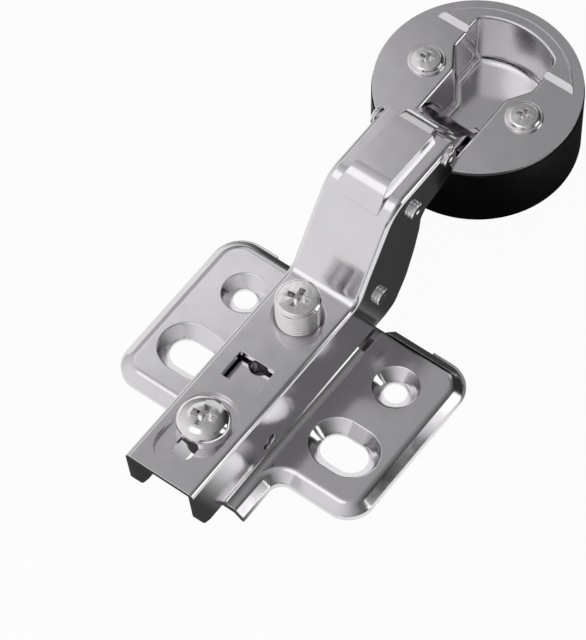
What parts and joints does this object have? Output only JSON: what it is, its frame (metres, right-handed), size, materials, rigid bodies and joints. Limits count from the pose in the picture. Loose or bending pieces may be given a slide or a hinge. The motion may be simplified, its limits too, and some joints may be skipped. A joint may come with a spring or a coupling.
{
  "type": "concealed cup hinge",
  "caption": "Concealed cabinet hinge with a round cup, a cranked slide-on arm and a winged mounting plate, shown open.",
  "frame": {"origin": "on the mounting face (underside of the plate's rim), where the line between the two round screw holes crosses the mid-plane", "axes": "+X along the arm towards the cup, +Z out of the mounting face, Y along the hinge's pivots"},
  "size_m": [0.1081, 0.052, 0.0355],
  "materials": {
    "nickel_sheet": "nickel-plated pressed steel, lightly brushed",
    "nickel_screw": "nickel-plated turned steel",
    "spring_steel": "oiled spring wire",
    "black_plastic": "moulded, satin",
    "nylon": "natural nylon",
    "brass": "turned"
  },
  "bodies": {
    "plate": {"mounting_plate": "nickel_sheet"},
    "arm": {"hinge_arm": "nickel_sheet", "front_rivet": "nickel_screw", "rear_rivet": "nickel_screw", "spring_rivet": "nickel_screw", "rear_spacers": "nylon", "spring_bush": "nylon", "closing_spring": "spring_steel"},
    "fixing_screw": {"fixing_screw": "nickel_screw"},
    "adjusting_screw": {"adjusting_screw": "nickel_screw"},
    "outer_link": {"outer_link": "nickel_sheet"},
    "cup": {"cup_plate": "nickel_sheet", "cup_body": "black_plastic", "cup_inserts": "brass", "cup_screw_left": "nickel_screw", "cup_screw_right": "nickel_screw", "cup_pin_outer": "nickel_screw", "cup_pin_inner": "nickel_screw"},
    "inner_link": {"inner_link": "nickel_sheet", "follower_pin": "nickel_screw", "link_spacer": "nickel_screw"}
  },
  "joints": [
    {"name": "depth_slide", "type": "slide", "parent": "plate", "child": "arm", "axis": [1, 0, 0], "range_m": [-0.0015, 0.005]},
    {"name": "fixing_screw_turn", "type": "hinge", "parent": "plate", "child": "fixing_screw", "pos_m": [-0.0318, 0, 0.0157], "axis": [0, 0, 1], "continuous": true},
    {"name": "adjusting_screw_turn", "type": "hinge", "parent": "arm", "child": "adjusting_screw", "pos_m": [-0.0058, 0, 0.0178], "axis": [0, 0, 1], "continuous": true},
    {"name": "cup_fold", "type": "hinge", "parent": "outer_link", "child": "cup", "pos_m": [0.0387, 0, 0.0207], "axis": [0, -1, 0], "range_deg": [0, 95.22]},
    {"name": "outer_link_pivot", "type": "hinge", "parent": "arm", "child": "outer_link", "pos_m": [0.0266, 0, 0.0323], "axis": [0, -1, 0], "range_deg": [-5.3, 0.1]},
    {"name": "inner_link_pivot", "type": "hinge", "parent": "cup", "child": "inner_link", "pos_m": [0.0341, 0, 0.0224], "axis": [0, -1, 0], "range_deg": [-112.6, 0.1]}
  ],
  "couplings": [
    {"joint": "outer_link_pivot", "follows": "cup_fold", "ratio": -0.05482},
    {"joint": "inner_link_pivot", "follows": "cup_fold", "ratio": -1.1805}
  ]
}
